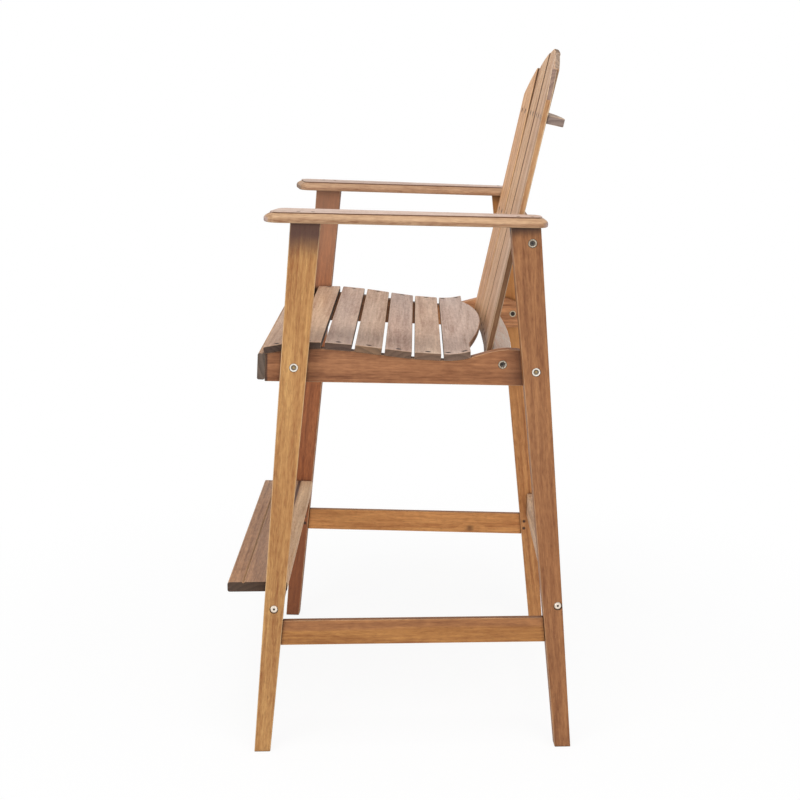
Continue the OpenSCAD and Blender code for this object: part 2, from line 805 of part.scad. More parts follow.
// Lower frame
module stretcher_tenons(spare) {
    z = stretcher_low + (stretcher_h - tenon_h) / 2;
    front = front_leg_y(z) + leg_half(z) - tenon_l;
    rear = rear_leg_y(z) - leg_half(z) + tenon_l;
    translate([(leg_t - tenon_t) / 2 - spare, front - spare, z - spare])
        cube([tenon_t + 2 * spare, rear - front + 2 * spare, tenon_h + 2 * spare]);
}

module side_stretcher(side) {
    low = stretcher_low;
    high = stretcher_low + stretcher_h;
    color(reddish) at_side(side) difference() {
        union() {
            across((leg_t - stretcher_t) / 2, (leg_t + stretcher_t) / 2) polygon([
                [front_leg_y(low) + leg_half(low), low],
                [rear_leg_y(low) - leg_half(low), low],
                [rear_leg_y(high) - leg_half(high), high],
                [front_leg_y(high) + leg_half(high), high]
            ]);
            stretcher_tenons(0);
        }
        at_pins() pin_hole();
    }
}

// A rail on edge between the legs, its ends bolted at the given place of the side frame
module cross_board(place) {
    y = place.x * cos(toe_in) - cross_rail_t / 2;
    between_sides(0) translate([-far / 2, y, place.y - cross_rail_h / 2])
        cube([far, cross_rail_t, cross_rail_h]);
}

module cross_bores() {
    for (side = [-1, 1])
        at_side(side) {
            at_low_bolts() bolt_hole(barrel_grip);
            at_barrels() barrel_hole();
        }
}

module rear_stretcher() {
    color(golden) difference() {
        cross_board(rear_low_bolt);
        cross_bores();
    }
}

module footrest_rail() {
    color(golden) difference() {
        cross_board(front_low_bolt);
        cross_bores();
        at_footrest_screws() screw_hole(footrest_screw);
    }
}

// The tread: rounded long edges and a groove along its front
module footrest_board() {
    color(tan) difference() {
        between_sides(-1) across(-far / 2, far / 2) difference() {
            translate([footrest_front, tread_h - footrest_t])
                rounded_bar([footrest_depth, footrest_t], footrest_round);
            translate([footrest_front + groove_back, tread_h]) polygon([
                [-groove_w / 2, clearance],
                [0, -groove_deep],
                [groove_w / 2, clearance]
            ]);
        }
        at_footrest_screws() screw_hole(footrest_screw);
    }
}

// Fasteners
module both_sides() {
    at_side(1) children();
    at_side(-1) children();
}

module leg_rail_bolts() {
    color(steel) both_sides() at_rail_bolts() bolt(rail_grip);
}

module leg_rail_nuts() {
    color(steel) both_sides() at_rail_nuts() rail_nut();
}

module brace_bolts() {
    color(steel) both_sides() {
        at_middle_bolt() bolt(barrel_grip);
        at_lower_bolt() bolt(lower_grip);
    }
}

module stretcher_bolts() {
    color(steel) both_sides() at_low_bolts() domed_bolt(barrel_grip);
}

module barrel_nuts() {
    color(steel) both_sides() at_barrels() difference() {
        cylinder(d = barrel_d, h = barrel_l);
        translate([-barrel_d, 0, barrel_l / 2]) rotate([0, 90, 0]) cylinder(d = bolt_d, h = 2 * barrel_d);
    }
}

module seat_slat_screws() {
    color(dark_steel) for (i = [1:7])
        at_slat_screws(i) screw(slat_screw);
}

module back_slat_screws() {
    color(dark_steel) in_back() for (k = [-2:2])
        at_back_slat(k) at_back_screws() screw(back_screw);
}

module arm_screws() {
    color(dark_steel) both_sides() at_arm_screws() screw(arm_screw);
}

module apron_screws() {
    color(dark_steel) at_apron_screws() screw(apron_screw);
}

module footrest_screws() {
    color(dark_steel) at_footrest_screws() screw(footrest_screw);
}

module stretcher_pins() {
    color(dark_steel) both_sides() at_pins() cylinder(d = pin_d, h = pin_l);
}

arm(1);  // arm_left
arm(-1);  // arm_right
front_leg(1);  // front_leg_left
front_leg(-1);  // front_leg_right
rear_leg(1);  // rear_leg_left
rear_leg(-1);  // rear_leg_right
seat_rail(1);  // seat_rail_left
seat_rail(-1);  // seat_rail_right
side_stretcher(1);  // side_stretcher_left
side_stretcher(-1);  // side_stretcher_right
front_apron();
seat_slat(1);  // seat_slat_1
seat_slat(2);  // seat_slat_2
seat_slat(3);  // seat_slat_3
seat_slat(4);  // seat_slat_4
seat_slat(5);  // seat_slat_5
seat_slat(6);  // seat_slat_6
seat_slat(7);  // seat_slat_7
back_slat(1);  // back_slat_1
back_slat(2);  // back_slat_2
back_slat(3);  // back_slat_3
back_slat(4);  // back_slat_4
back_slat(5);  // back_slat_5
upper_back_brace();
middle_back_brace();
lower_back_brace();
rear_stretcher();
footrest_rail();
footrest_board();
leg_rail_bolts();
leg_rail_nuts();
brace_bolts();
stretcher_bolts();
barrel_nuts();
seat_slat_screws();
back_slat_screws();
arm_screws();
apron_screws();
footrest_screws();
stretcher_pins();
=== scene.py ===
import math

import bmesh
import bpy
from mathutils import Matrix, Vector


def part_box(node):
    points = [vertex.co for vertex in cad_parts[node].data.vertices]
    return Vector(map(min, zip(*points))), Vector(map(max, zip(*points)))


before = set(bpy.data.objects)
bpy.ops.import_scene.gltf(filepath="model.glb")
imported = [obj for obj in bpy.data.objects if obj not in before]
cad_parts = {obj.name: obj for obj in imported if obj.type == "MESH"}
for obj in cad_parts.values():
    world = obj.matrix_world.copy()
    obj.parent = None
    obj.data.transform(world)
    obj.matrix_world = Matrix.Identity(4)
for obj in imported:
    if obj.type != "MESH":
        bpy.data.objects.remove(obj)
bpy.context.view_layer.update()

# Adirondack bar stool in oiled hardwood. Metres; the sitter faces -Y and the sitter's left is +X.
# Directions in the solids: each board's grain follows them.

TOE_IN = math.radians(3)
LEG_LEAN = math.radians(5.4)
ARM_FALL = math.radians(1.4)
RAIL_FALL = math.radians(1.4)
RAKE = math.radians(12.1)
SLAT_TURN = math.radians(1.91)
BACK_FAN = math.radians(0.64)
UP = Vector((0, 0, 1))
ACROSS = Vector((1, 0, 0))
FORWARD = Vector((0, -1, 0))
BACK_TILT = Matrix.Rotation(-RAKE, 3, "X")

# Vertices closer than this are one
SAME_PLACE = 0.00001


# Shader maths

class Value:
    """A number that changes over a surface. Sums on it add the nodes that work them out."""

    def __init__(self, web, socket):
        self.web = web
        self.socket = socket

    def _sum(self, operation, a, b):
        return self.web.add("ShaderNodeMath", {"operation": operation}, {0: a, 1: b})

    def __add__(self, other):
        return self._sum("ADD", self, other)

    def __radd__(self, other):
        return self._sum("ADD", other, self)

    def __sub__(self, other):
        return self._sum("SUBTRACT", self, other)

    def __rsub__(self, other):
        return self._sum("SUBTRACT", other, self)

    def __mul__(self, other):
        return self._sum("MULTIPLY", self, other)

    def __rmul__(self, other):
        return self._sum("MULTIPLY", other, self)

    def __truediv__(self, other):
        return self._sum("DIVIDE", self, other)

    def __pow__(self, other):
        return self._sum("POWER", self, other)

    def __abs__(self):
        return self._sum("ABSOLUTE", self, 0)

    def fraction(self):
        return self._sum("FRACT", self, 0)

    def smaller(self, other):
        return self._sum("MINIMUM", self, other)

    def larger(self, other):
        return self._sum("MAXIMUM", self, other)

    def rise(self, low, high):
        """0 at low, 1 at high, and a smooth step between them. Low may be above high."""
        settings = {"interpolation_type": "SMOOTHSTEP"}
        return self.web.add("ShaderNodeMapRange", settings, {0: self, 1: low, 2: high, 3: 0, 4: 1})


class Web:
    """The nodes of one finish, of the room's light, or of the eased edges."""

    def __init__(self, tree):
        self.tree = tree
        tree.nodes.clear()

    def add(self, kind, settings, sockets, out=0):
        """Adds a node with its settings and its sockets' values or links, and gives one output."""
        node = self.tree.nodes.new(kind)
        for key, setting in settings.items():
            setattr(node, key, setting)
        for key, given in sockets.items():
            if isinstance(given, Value):
                self.tree.links.new(given.socket, node.inputs[key])
            else:
                node.inputs[key].default_value = given
        return Value(self, node.outputs[out]) if node.outputs else None

    def vectors(self, operation, a, b, out=0):
        return self.add("ShaderNodeVectorMath", {"operation": operation}, {0: a, 1: b}, out)


class Finish(Web):
    """One material, built node by node."""

    def __init__(self, name):
        self.material = bpy.data.materials.new(name)
        self.material.use_nodes = True
        super().__init__(self.material.node_tree)

    def mix(self, share, a, b):
        return self.add("ShaderNodeMix", {"data_type": "RGBA"}, {0: share, 6: a, 7: b}, out=2)

    def over(self, colour, share, tint):
        """The colour with a share of a tint over it."""
        return self.mix(share, colour, paint(tint))

    def tones(self, depth, light, dark):
        """Light where depth is 0 and dark where it is 1, and a little past both."""
        past = 0.25
        darkest = [a + (b - a) * (1 + past) for a, b in zip(light, dark)]
        lightest = [max(0, min(255, a + (a - b) * past)) for a, b in zip(light, dark)]
        return self.mix((depth + past) / (1 + 2 * past), paint(lightest), paint(darkest))

    def noise(self, place, by, detail, seed):
        """Noise from 0 to 1, with its scale along each axis given in waves per metre."""
        stretched = self.vectors("MULTIPLY", place, by)
        sockets = {"Vector": stretched, "W": seed, "Scale": 1.0, "Detail": detail}
        return self.add("ShaderNodeTexNoise", {"noise_dimensions": "4D"}, sockets)

    def coordinate(self, which):
        return self.add("ShaderNodeTexCoord", {}, {}, out={"Normal": 1, "Object": 3}[which])

    def parts(self, vector):
        return [self.add("ShaderNodeSeparateXYZ", {}, {0: vector}, out=k) for k in range(3)]

    def nearest(self, spot, points):
        """Distance to the nearest of some points."""
        nearest = None
        for point in points:
            gap = self.vectors("DISTANCE", spot, point, out="Value")
            nearest = gap if nearest is None else nearest.smaller(gap)
        return nearest

    def off_axis(self, spot, points, way):
        """Distance to the nearest of the axes that run along way(point) through the points."""
        nearest = None
        for point in points:
            arm = self.vectors("SUBTRACT", spot, point)
            lever = self.vectors("CROSS_PRODUCT", arm, way(point))
            gap = self.vectors("LENGTH", lever, (0, 0, 0), out="Value")
            nearest = gap if nearest is None else nearest.smaller(gap)
        return nearest

    def surface(self, sockets, bump, depth):
        sockets["Normal"] = self.add("ShaderNodeBump", {},
                                     {"Strength": 1.0, "Distance": depth, "Height": bump})
        shader = self.add("ShaderNodeBsdfPrincipled", {}, sockets)
        self.add("ShaderNodeOutputMaterial", {}, {"Surface": shader})
        return self.material


def paint(code):
    """A colour written as red, green and blue from 0 to 255, as the shader wants it."""
    def straight(c):
        c = c / 255
        return c / 12.92 if c <= 0.04045 else ((c + 0.055) / 1.055) ** 2.4
    return tuple(straight(c) for c in code) + (1.0,)


# Fasteners: where their heads are

HEAD_RIM = 0.0012


def heads(node, outward):
    """Middle of each head's outer face. outward(middle) is the direction that a head looks in."""
    solid = bmesh.new()
    solid.from_mesh(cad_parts[node].data)
    bmesh.ops.remove_doubles(solid, verts=solid.verts, dist=SAME_PLACE)
    left = set(solid.verts)
    found = []
    while left:
        todo, one = [left.pop()], []
        while todo:
            vert = todo.pop()
            one.append(vert.co.copy())
            for edge in vert.link_edges:
                other = edge.other_vert(vert)
                if other in left:
                    left.remove(other)
                    todo.append(other)
        way = outward(sum(one, Vector()) / len(one))
        end = max(co.dot(way) for co in one)
        rim = [co for co in one if co.dot(way) > end - HEAD_RIM]
        found.append(sum(rim, Vector()) / len(rim))
    solid.free()
    return found


def close_to(node, points):
    """The points inside the board's box."""
    low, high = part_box(node)
    spare = 0.002
    return [p for p in points if all(low[i] - spare < p[i] < high[i] + spare for i in range(3))]


# Wood

# Layers of a board's grain: waves per metre along and across it, detail, seed step and strength
GRAIN = {
    "fibre": (14, 420, 3.0, 13, 0.8),
    "fine bands": (7, 210, 3.0, 17, 2.2),
    "mottling": (26, 130, 2.0, 45, 0.9),
    "patches": (2.5, 11, 2.0, 34, 0.6),
    "speckles": (55, 330, 2.0, 19, 1.8),
    "ripples": (85, 60, 2.0, 40, 0.5),
}
# Shade in the crevices: how far it reaches, the least cover that shows, and its share
CREVICES = (0.05, 0.45, 0.4), (0.009, 0.12, 0.6)
COVER_RANGE = 0.5
# Distances over which a look fades
STRIP_FADE = 0.004
STEP_FADE = 0.0003
RUST_FADE = 0.0028
GROOVE_EDGE = 0.0022, 0.0034
RELIEF = 0.00025

# Tints of the wood: warm patches, weathered grey, pores and knots; darker joints; painted shade in
# the groove, above the moulding's step and in crevices; rust; and eased edges, paler partly as
# sanded wear and partly as a painted highlight
WARM, SILVER, PORE, KNOT = (176, 112, 62), (156, 140, 134), (92, 60, 38), (88, 52, 32)
JOINT_DARK, PAINTED_GROOVE_SHADE, PAINTED_STEP_SHADE, CREVICE = (72, 50, 38), (74, 46, 38), (98, 66, 46), (58, 38, 28)
RUST, SANDED_HIGHLIGHT = (52, 32, 22), (226, 190, 146)


class Board(Finish):
    """Board-sawn wood, from its growth rings to the dirt, painted shade and painted highlights on
    it.

    Its axes start at the board's middle: u along the grain, v across the board and w out of its
    face. facing says how far the surface looks along each of them.
    """

    def __init__(self, node, grain, face, seed):
        super().__init__(node.replace("_", " "))
        self.seed = seed
        low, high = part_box(node)
        middle = (low + high) / 2
        along = grain.normalized()
        out = (face - along * face.dot(along)).normalized()
        turn = Matrix((along, out.cross(along), out))
        angles = turn.to_euler("XYZ")
        self.spot = self.coordinate("Object")
        sockets = {"Vector": self.spot, "Location": -(turn @ middle), "Rotation": angles}
        self.place = self.add("ShaderNodeMapping", {"vector_type": "POINT"}, sockets)
        self.u, self.v, self.w = self.parts(self.place)
        sockets = {"Vector": self.coordinate("Normal"), "Rotation": angles}
        self.facing = self.parts(self.add("ShaderNodeMapping", {"vector_type": "NORMAL"}, sockets))
        self.on_end, self.on_face = abs(self.facing[0]), abs(self.facing[2])
        ends = [(vert.co - middle).dot(along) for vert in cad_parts[node].data.vertices]
        self.from_start, self.to_end = self.u - min(ends), max(ends) - self.u
        self.layers = {kind: self.layer(*sizes) for kind, (*sizes, strength) in GRAIN.items()}
        self.pore = self.layer(110, 1300, 1.0, 55).rise(0.58, 0.70)
        self.sway = self.layer(2.2, 9, 2.0, 0) - 0.5
        self.knot = None

    def layer(self, along, across, detail, step):
        """Noise with its waves per metre along the grain and across it."""
        return self.noise(self.place, (along, across, across), detail, self.seed + step)

    def lay(self, share, tint):
        """Covers a share of the colour so far with a tint."""
        self.colour = self.over(self.colour, share, tint)

    def grow(self, pith, ring, knot):
        """Growth rings, bent by a slow sway along the board and round the knot."""
        sway_fine = self.layer(9, 40, 2.0, 7) - 0.5
        v_pith = self.v - pith[0] + self.sway * 0.03 + self.u * 0.012
        w_pith = self.w - pith[1] + self.sway * 0.02 + self.u * 0.02
        distance = (v_pith * v_pith + w_pith * w_pith) ** 0.5
        if knot:
            point, size = knot
            ragged = (self.layers["mottling"] - 0.5) * size * 2.4
            off_knot = self.nearest(self.spot, [point]) + ragged
            distance = distance + (1 - off_knot.rise(size, size * 4)) * size * 0.6
            self.knot = 1 - off_knot.rise(size * 0.1, size * 1.2)
        rings = ((distance + sway_fine * 0.006) / ring).fraction()
        self.late = rings.rise(0.15, 0.9) * (1 - rings.rise(0.9, 1.0))

    def shade_grain(self, light, dark, figure, streak, contrast):
        """How dark the wood is, from 0 to 1 and a little past both, and the colour of that."""
        band = self.layer(1.6, 42, 3.0, 21)
        depth = (self.late - 0.4) * figure + (band - 0.5) * streak * 1.8
        for kind, (*_, strength) in GRAIN.items():
            depth = depth + (self.layers[kind] - 0.5) * strength
        self.depth = (depth * contrast + 0.5).larger(-0.25).smaller(1.25)
        self.colour = self.tones(self.depth, light, dark)

    def change_wood_and_tops(self, strip, crown):
        """Other wood beyond a line across the board, and other tones on its upper face: paler on
        the arms, and painted light on the lower back brace.
        """
        if strip:
            start, strip_tones = strip
            beyond = (self.v + self.sway * 0.03).rise(start - STRIP_FADE, start + STRIP_FADE)
            self.colour = self.mix(beyond, self.colour, self.tones(self.depth, *strip_tones))
        if crown:
            on_top = self.facing[2].rise(0.985, 0.995)
            self.colour = self.mix(on_top, self.colour, self.tones(self.depth, *crown))

    def weather(self, grey):
        """Warm patches, silver grey that is strongest on the open faces, and dark pores."""
        self.lay(self.layer(1.2, 7, 2.0, 89).rise(0.35, 0.7) * 0.22, WARM)
        if grey:
            open_face = 0.35 + self.on_face.rise(0.85, 0.97) * 0.65
            weathered = self.layer(1.8, 16, 3.0, 144).rise(0.3, 0.72)
            self.lay(weathered * open_face * grey, SILVER)
        self.lay(self.pore * 0.30, PORE)
        if self.knot:
            self.lay(self.knot * 0.7, KNOT)

    def stain_end(self, mark, reach):
        """A tint with a ragged edge, measured from one end of the board: stains, painted shade and
        painted light.
        """
        share, full, gone, tint = mark
        damp = self.layer(16, 30, 2.0, 180) * 0.4 * gone + reach
        self.lay((1 - damp.rise(full, gone)) * share, tint)

    def sand_and_highlight_edges(self, edge, rim):
        """Eased edges that are paler, partly as sanded wear and partly as a painted highlight."""
        eased = self.on_face.rise(0.12, 0.35) * (1 - self.on_face.rise(0.93, 0.985))
        worn = self.layer(60, 60, 2.0, 233).rise(0.3, 0.6)
        self.lay(eased * edge * (0.45 + worn * 0.55), rim)

    def shade_faces(self, axis, sign, share, full, gone, tint):
        """A tint on the faces that look one way, measured from the end where the grain starts:
        painted shade on the seat rails and the outer back slats, and a lighter tone on the right
        front leg.
        """
        within = 1 - self.from_start.rise(full, gone)
        self.lay((self.facing[axis] * sign).rise(0.8, 0.96) * within * share, tint)

    def darken_joints_and_paint_shade(self, joints, groove, step):
        """Darker at the joints with other boards, and painted shade in the groove and above the
        moulding's step.
        """
        for side, share, slope in joints:
            self.lay((self.facing[1] * side).rise(slope, slope + 0.3) * share, JOINT_DARK)
        if groove is not None:
            # Painted shade in the footrest's groove
            in_groove = 1 - abs(self.v - groove).rise(*GROOVE_EDGE)
            self.lay(in_groove * self.on_face.rise(0.5, 0.6) * 0.9, PAINTED_GROOVE_SHADE)
        # Painted shade above the arm moulding's step
        if step is not None:
            above = self.w.rise(step - STEP_FADE, step + STEP_FADE)
            self.lay(above * (1 - self.on_face.rise(0.6, 0.9)) * 0.85, PAINTED_STEP_SHADE)

    def cut_ends(self, end):
        """End grain, with its rings and pores darker."""
        self.cut = self.on_end.rise(0.6, 0.85)
        darker = [c * 0.62 for c in end]
        end_grain = self.mix(self.late * 0.5 + self.pore * 0.5, paint(end), paint(darker))
        self.colour = self.mix(self.cut * 0.94, self.colour, end_grain)

    def shade_crevices(self):
        """Shade where other boards or heads are close."""
        for reach, least, share in CREVICES:
            clear = self.add("ShaderNodeAmbientOcclusion", {"samples": 6}, {"Distance": reach},
                             out="AO")
            self.lay((1 - clear).rise(least, least + COVER_RANGE) * share, CREVICE)

    def rust(self, screws, ring):
        """Rust in the wood round the screws' heads."""
        rust = 1 - self.nearest(self.spot, screws).rise(ring, ring + RUST_FADE)
        self.lay(rust * 0.88, RUST)

    def finished(self):
        """The material, a little raised at the fibres and sunk at the pores."""
        fibre = self.layers["fibre"]
        rough = 0.50 + fibre * 0.12 + self.pore * 0.12 + self.cut * 0.15
        height = fibre * 0.5 - self.pore * 0.6 + self.late * 0.25
        sockets = {"Base Color": self.colour, "Roughness": rough, "Specular IOR Level": 0.35}
        return self.surface(sockets, height, RELIEF)


def wood(node, grain, face, tones, seed, pith=(0.02, -0.07), ring=0.009, figure=0.5, streak=0.5,
         contrast=1.0, grey=0.0, knot=None, strip=None, crown=None, stain=None, foot=None,
         shade=None, edge=0.35, rim=SANDED_HIGHLIGHT, joints=(), groove=None, step=None, screws=(),
         rust_ring=0.0037):
    """The finish of one board. The pith runs along the grain, beside the board.

    figure and streak are the strengths of the rings and of the wide bands, and contrast that of
    the whole grain. knot is a place and a size, strip a line across the board and the tones of the
    wood beyond it, and crown the tones of the upper face, painted light on the lower back brace.
    The end mark and foot are a share, the distance at which it is full, the one at which it is
    gone,
    and a tint: the end mark from the end that the grain runs to, and foot from the other. They hold
    stains, painted shade and painted light. shade has an axis and a sign before these.
    """
    light, dark, end = tones
    board = Board(node, grain, face, seed)
    board.grow(pith, ring, knot)
    board.shade_grain(light, dark, figure, streak, contrast)
    board.change_wood_and_tops(strip, crown)
    board.weather(grey)
    if stain:
        board.stain_end(stain, board.to_end)
    if foot:
        board.stain_end(foot, board.from_start)
    board.sand_and_highlight_edges(edge, rim)
    if shade:
        board.shade_faces(*shade)
    board.darken_joints_and_paint_shade(joints, groove, step)
    board.cut_ends(end)
    board.shade_crevices()
    if screws:
        board.rust(screws, rust_ring)
    return board.finished()


# Plating and steel

def zinc_plating(node, dish, socket, tones):
    """Pale plating, dulled in spots, with painted shade in the dish and the socket of each head."""
    pale, worn, painted_shade, bottom = tones
    f = Finish(node.replace("_", " "))
    spot = f.coordinate("Object")
    gap = f.off_axis(spot, heads(node, side_out), side_out)
    dull = f.noise(spot, (420, 420, 420), 3.0, 3.0)
    colour = f.mix(dull.rise(0.35, 0.7), paint(pale), paint(worn))
    in_dish = 1 - gap.rise(dish - 0.0003, dish + 0.0001)
    in_socket = 1 - gap.rise(socket - 0.0002, socket + 0.0004)
    # Painted shade in each head's dish and socket
    colour = f.over(colour, in_dish * (0.8 + dull * 0.2), painted_shade)
    at_bottom = f.mix(dull.rise(0.45, 0.8) * 0.5, paint(bottom), paint(painted_shade))
    colour = f.mix(in_socket, colour, at_bottom)
    metal = 0.75 - in_dish.larger(in_socket) * 0.65
    sockets = {"Base Color": colour, "Metallic": metal, "Roughness": 0.34 + dull * 0.2}
    return f.surface(sockets, dull, 0.00005)


def screw_steel(name, dark, rubbed):
    """Dull steel with a little shine where it is rubbed."""
    f = Finish(name)
    rub = f.noise(f.coordinate("Object"), (600, 600, 600), 2.0, 8.0)
    colour = f.mix(rub.rise(0.4, 0.75), paint(dark), paint(rubbed))
    sockets = {"Base Color": colour, "Metallic": 0.3, "Roughness": 0.5 + rub * 0.2}
    return f.surface(sockets, rub, 0.00003)


# Eased edges

LONG_EDGE = 0.005
SHARP_EDGE = math.radians(40)


def long_edges():
    """Node group that marks a board's long sharp edges for the bevel and leaves its bores."""
    group = bpy.data.node_groups.new("long sharp edges", "GeometryNodeTree")
    for way in ("INPUT", "OUTPUT"):
        group.interface.new_socket("Geometry", in_out=way, socket_type="NodeSocketGeometry")
    w = Web(group)
    board = w.add("NodeGroupInput", {}, {})
    one_end = w.add("GeometryNodeInputMeshEdgeVertices", {}, {}, out="Position 1")
    other_end = w.add("GeometryNodeInputMeshEdgeVertices", {}, {}, out="Position 2")
    length = w.vectors("DISTANCE", one_end, other_end, out="Value")
    angle = w.add("GeometryNodeInputMeshEdgeAngle", {}, {})
    above = {"operation": "GREATER_THAN"}
    is_long = w.add("ShaderNodeMath", above, {0: length, 1: LONG_EDGE})
    is_sharp = w.add("ShaderNodeMath", above, {0: angle, 1: SHARP_EDGE})
    marks = {"Geometry": board, "Name": "bevel_weight_edge", "Value": is_long * is_sharp}
    on_edges = {"data_type": "FLOAT", "domain": "EDGE"}
    w.add("NodeGroupOutput", {}, {0: w.add("GeometryNodeStoreNamedAttribute", on_edges, marks)})
    return group


edge_marks = long_edges()


def ease(board, width):
    """Rounds the board's long edges over, as sandpaper leaves them."""
    weld = board.modifiers.new("weld", "WELD")
    weld.merge_threshold = SAME_PLACE
    flat = board.modifiers.new("flat faces", "DECIMATE")
    flat.decimate_type = "DISSOLVE"
    flat.angle_limit = math.radians(0.4)
    mark = board.modifiers.new("long edges", "NODES")
    mark.node_group = edge_marks
    bevel = board.modifiers.new("eased edges", "BEVEL")
    bevel.limit_method = "WEIGHT"
    bevel.width = width
    bevel.segments = 3
    bevel.use_clamp_overlap = False
    even = board.modifiers.new("even shading", "WEIGHTED_NORMAL")
    even.weight = 80


# Directions of the boards in each side frame: 1 is the sitter's left and -1 the right

def frame_line(side):
    return Vector((-side * math.sin(TOE_IN), math.cos(TOE_IN), 0))


def frame_out(side):
    return Vector((side * math.cos(TOE_IN), math.sin(TOE_IN), 0))


def side_out(middle):
    return frame_out(1 if middle.x > 0 else -1)


def leaning(side, lean):
    return frame_line(side) * math.sin(lean) + UP * math.cos(lean)


def falling(side, fall):
    return frame_line(side) * math.cos(fall) - UP * math.sin(fall)


# The boards' looks

def coat(node, finish):
    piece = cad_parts[node]
    piece.data.materials.clear()
    piece.data.materials.append(finish)
    return piece


def dress(node, grain, face, seed, eased=None, **look):
    """Gives a board its wood, and eases its edges where the solid leaves them sharp."""
    board = coat(node, wood(node, grain, face, TONES[node], seed, **look))
    if eased:
        ease(board, eased)


# Light wood, dark wood and end grain of each board, as red, green and blue from 0 to 255
# The right rear leg, seat rail and stretcher are lighter than the left ones, partly as the wood
# differs and partly as painted light where they stand in shade
TONES = {
    "front_leg_left": ((198, 149, 91), (154, 100, 54), (150, 110, 76)),
    "front_leg_right": ((170, 102, 62), (120, 64, 37), (150, 110, 76)),
    "rear_leg_left": ((167, 114, 72), (119, 70, 39), (130, 92, 64)),
    "rear_leg_right": ((209, 148, 91), (162, 102, 57), (130, 92, 64)),
    "seat_rail_left": ((163, 110, 73), (114, 68, 41), (112, 80, 58)),
    "seat_rail_right": ((211, 150, 103), (150, 94, 60), (112, 80, 58)),
    "side_stretcher_left": ((188, 131, 71), (145, 91, 45), (120, 84, 58)),
    "side_stretcher_right": ((232, 166, 100), (186, 118, 66), (120, 84, 58)),
    "arm_left": ((191, 153, 117), (148, 106, 73), (188, 163, 156)),
    "arm_right": ((190, 152, 119), (146, 106, 76), (150, 124, 104)),
    "seat_slat_1": ((205, 171, 141), (160, 121, 94), (60, 44, 38)),
    "seat_slat_2": ((222, 187, 153), (178, 136, 104), (60, 44, 36)),
    "seat_slat_3": ((211, 183, 162), (169, 136, 118), (76, 54, 43)),
    "seat_slat_4": ((214, 185, 160), (166, 134, 110), (127, 97, 72)),
    "seat_slat_5": ((207, 179, 161), (161, 129, 113), (102, 78, 62)),
    "seat_slat_6": ((227, 199, 174), (177, 145, 122), (114, 85, 66)),
    "seat_slat_7": ((214, 191, 177), (173, 146, 131), (109, 84, 68)),
    "back_slat_1": ((193, 149, 103), (151, 103, 62), (144, 117, 104)),
    "back_slat_2": ((225, 189, 155), (177, 131, 96), (161, 136, 116)),
    "back_slat_3": ((226, 185, 144), (178, 128, 88), (120, 96, 78)),
    "back_slat_4": ((230, 187, 143), (181, 130, 86), (120, 96, 78)),
    "back_slat_5": ((242, 191, 139), (190, 133, 85), (120, 96, 78)),
    "front_apron": ((196, 154, 118), (140, 102, 76), (97, 84, 75)),
    "footrest_board": ((189, 144, 107), (130, 93, 65), (66, 50, 40)),
    "footrest_rail": ((186, 136, 92), (136, 90, 58), (110, 80, 58)),
    "rear_stretcher": ((236, 202, 166), (178, 142, 112), (110, 80, 58)),
    "upper_back_brace": ((184, 163, 140), (139, 113, 94), (139, 120, 111)),
    "middle_back_brace": ((194, 146, 102), (144, 98, 64), (120, 90, 66)),
    "lower_back_brace": ((212, 172, 134), (166, 126, 94), (120, 96, 78)),
}
# Light and dark tones of a part of a board; those of the lower back brace's top are painted light
ARM_TOPS = (222, 198, 182), (186, 154, 136)
BRACE_TOP_PAINTED_LIGHT = (255, 246, 236), (246, 224, 208)
DARK_TOP = (176, 120, 74), (130, 82, 49)
REAR_STRIP = (246, 208, 166), (208, 164, 122)
# Tints of stains, of painted shade and painted light, and of edges partly rubbed and partly painted
# as highlights
PURPLISH, BLACKISH, REDDISH, GOLDEN_PAINTED_LIGHT = (86, 58, 51), (54, 34, 26), (98, 48, 27), (224, 162, 94)
DARK_BROWN, PALE_CUT = (92, 58, 42), (196, 158, 132)
WHITE_HIGHLIGHT, CREAM = (255, 250, 244), (240, 212, 176)

# Marks that only one of two like boards has, and those that both have
# The legs' tops are darker under the arms, partly stained and partly painted shade of the arms:
# blackish tips on the rear legs and the right front leg, and a wider purplish band on the left
# front leg
BLACK_TIP = (0.9, 0.008, 0.027, BLACKISH)
FRONT_LEGS = {
    "left": {"stain": (0.94, 0.040, 0.088, PURPLISH)},
    "right": {"stain": (0.8, 0.008, 0.027, BLACKISH), "foot": (0.45, 0.10, 0.60, REDDISH),
              "shade": (2, -1, 0.55, 0.95, 0.62, (186, 146, 118))},
}
# Painted light on the right rear leg's upper part, where it stands in shade
REAR_LEGS = {"left": {}, "right": {"foot": (0.42, 0.80, 0.58, GOLDEN_PAINTED_LIGHT)}}
# The left seat rail is darker towards its rear end
RAILS = {"left": {"stain": (0.5, 0.045, 0.095, DARK_BROWN)}, "right": {}}
STRETCHERS = {
    "left": {"strip": (0.007, DARK_TOP)},
    "right": {"knot": ((-0.297, 0.1443, 0.216), 0.010)},
}
ARMS = {"left": {"knot": ((0.346, -0.1979, 0.9643), 0.0035)}, "right": {}}
# Painted shade on the seat rails' inner faces under the slats, fading out towards their rear ends
SHADE_UNDER_SEAT = (2, -1, 0.7, 0.26, 0.32, (58, 36, 24))
# Painted shade at the seat rails' front ends, behind the apron
SHADE_BEHIND_APRON = (0.92, 0.005, 0.009, BLACKISH)
PIN_RUST = 0.0021
ARM_STEP = 0.0062

# How wide the edges are eased
LEG_EASE, SEAT_EASE, BACK_EASE = 0.0016, 0.0016, 0.0020
STRETCHER_EASE, RAIL_EASE, WORN_EASE = 0.0014, 0.0012, 0.0034

pins = heads("stretcher_pins", lambda middle: -side_out(middle))

